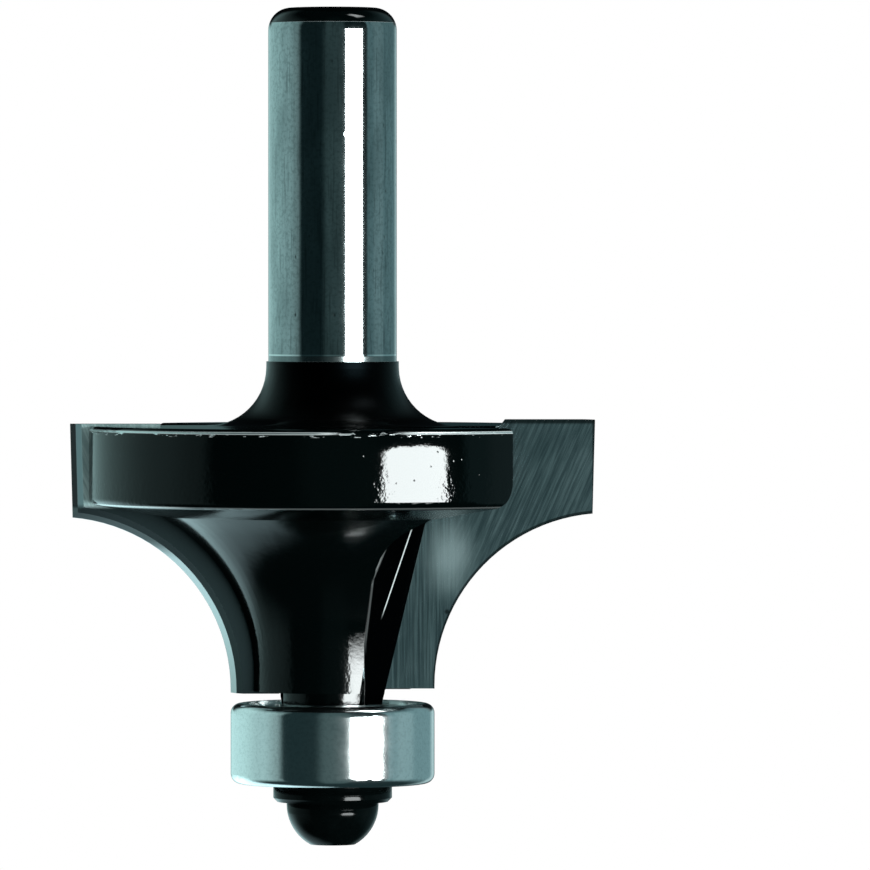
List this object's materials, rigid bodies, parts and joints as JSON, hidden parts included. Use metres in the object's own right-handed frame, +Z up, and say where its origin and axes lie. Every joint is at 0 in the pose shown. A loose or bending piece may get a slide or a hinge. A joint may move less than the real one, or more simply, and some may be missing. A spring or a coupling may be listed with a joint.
{
  "type": "router bit",
  "caption": "Round-over router bit: straight shank, coated round body with brazed carbide tips, and a guide bearing held by a socket screw.",
  "frame": {"origin": "on the axis at the collet's mouth, 2 mm above the coated neck, the deepest a collet may grip", "axes": "+Z up the axis towards the shank's free end; +X through the first cutting edge, whose rake face looks along -Y"},
  "size_m": [0.0326, 0.0304, 0.0521],
  "materials": {
    "coated_steel": "black gloss coating on the head and neck, the shank ground bright",
    "carbide": "ground grey carbide",
    "bearing_steel": "fine ground and polished",
    "ball_steel": "mirror polished",
    "cage_steel": "pressed strip, satin",
    "shield_steel": "pressed strip, satin",
    "spring_steel": "drawn wire",
    "blackened_steel": "black oxide, oiled"
  },
  "bodies": {
    "cutter": {"cutter_body": "coated_steel", "carbide_tip_1": "carbide", "carbide_tip_2": "carbide", "bearing_inner_ring": "bearing_steel", "screw_washer": "blackened_steel", "retaining_screw": "blackened_steel"},
    "outer_race": {"bearing_outer_ring": "bearing_steel", "shield_upper": "shield_steel", "shield_lower": "shield_steel", "snap_ring_upper": "spring_steel", "snap_ring_lower": "spring_steel"},
    "cage": {"cage_upper": "cage_steel", "cage_lower": "cage_steel"},
    "rolling_ball_1": {"ball_1": "ball_steel"},
    "rolling_ball_2": {"ball_2": "ball_steel"},
    "rolling_ball_3": {"ball_3": "ball_steel"},
    "rolling_ball_4": {"ball_4": "ball_steel"},
    "rolling_ball_5": {"ball_5": "ball_steel"},
    "rolling_ball_6": {"ball_6": "ball_steel"},
    "rolling_ball_7": {"ball_7": "ball_steel"}
  },
  "joints": [
    {"name": "bearing_spin", "type": "hinge", "parent": "cutter", "child": "outer_race", "pos_m": [0, 0, -0.02579], "axis": [0, 0, 1], "continuous": true},
    {"name": "cage_orbit", "type": "hinge", "parent": "cutter", "child": "cage", "pos_m": [0, 0, -0.02579], "axis": [0, 0, 1], "continuous": true},
    {"name": "ball_1_roll", "type": "hinge", "parent": "cage", "child": "rolling_ball_1", "pos_m": [0.00437, 0, -0.02579], "axis": [0, 0, 1], "continuous": true},
    {"name": "ball_2_roll", "type": "hinge", "parent": "cage", "child": "rolling_ball_2", "pos_m": [0.00272, 0.00341, -0.02579], "axis": [0, 0, 1], "continuous": true},
    {"name": "ball_3_roll", "type": "hinge", "parent": "cage", "child": "rolling_ball_3", "pos_m": [-0.00097, 0.00426, -0.02579], "axis": [0, 0, 1], "continuous": true},
    {"name": "ball_4_roll", "type": "hinge", "parent": "cage", "child": "rolling_ball_4", "pos_m": [-0.00393, 0.00189, -0.02579], "axis": [0, 0, 1], "continuous": true},
    {"name": "ball_5_roll", "type": "hinge", "parent": "cage", "child": "rolling_ball_5", "pos_m": [-0.00393, -0.00189, -0.02579], "axis": [0, 0, 1], "continuous": true},
    {"name": "ball_6_roll", "type": "hinge", "parent": "cage", "child": "rolling_ball_6", "pos_m": [-0.00097, -0.00426, -0.02579], "axis": [0, 0, 1], "continuous": true},
    {"name": "ball_7_roll", "type": "hinge", "parent": "cage", "child": "rolling_ball_7", "pos_m": [0.00272, -0.00341, -0.02579], "axis": [0, 0, 1], "continuous": true}
  ],
  "couplings": [
    {"joint": "cage_orbit", "follows": "bearing_spin", "ratio": 0.63635},
    {"joint": "ball_1_roll", "follows": "bearing_spin", "ratio": 1.6971},
    {"joint": "ball_2_roll", "follows": "bearing_spin", "ratio": 1.6971},
    {"joint": "ball_3_roll", "follows": "bearing_spin", "ratio": 1.6971},
    {"joint": "ball_4_roll", "follows": "bearing_spin", "ratio": 1.6971},
    {"joint": "ball_5_roll", "follows": "bearing_spin", "ratio": 1.6971},
    {"joint": "ball_6_roll", "follows": "bearing_spin", "ratio": 1.6971},
    {"joint": "ball_7_roll", "follows": "bearing_spin", "ratio": 1.6971}
  ]
}
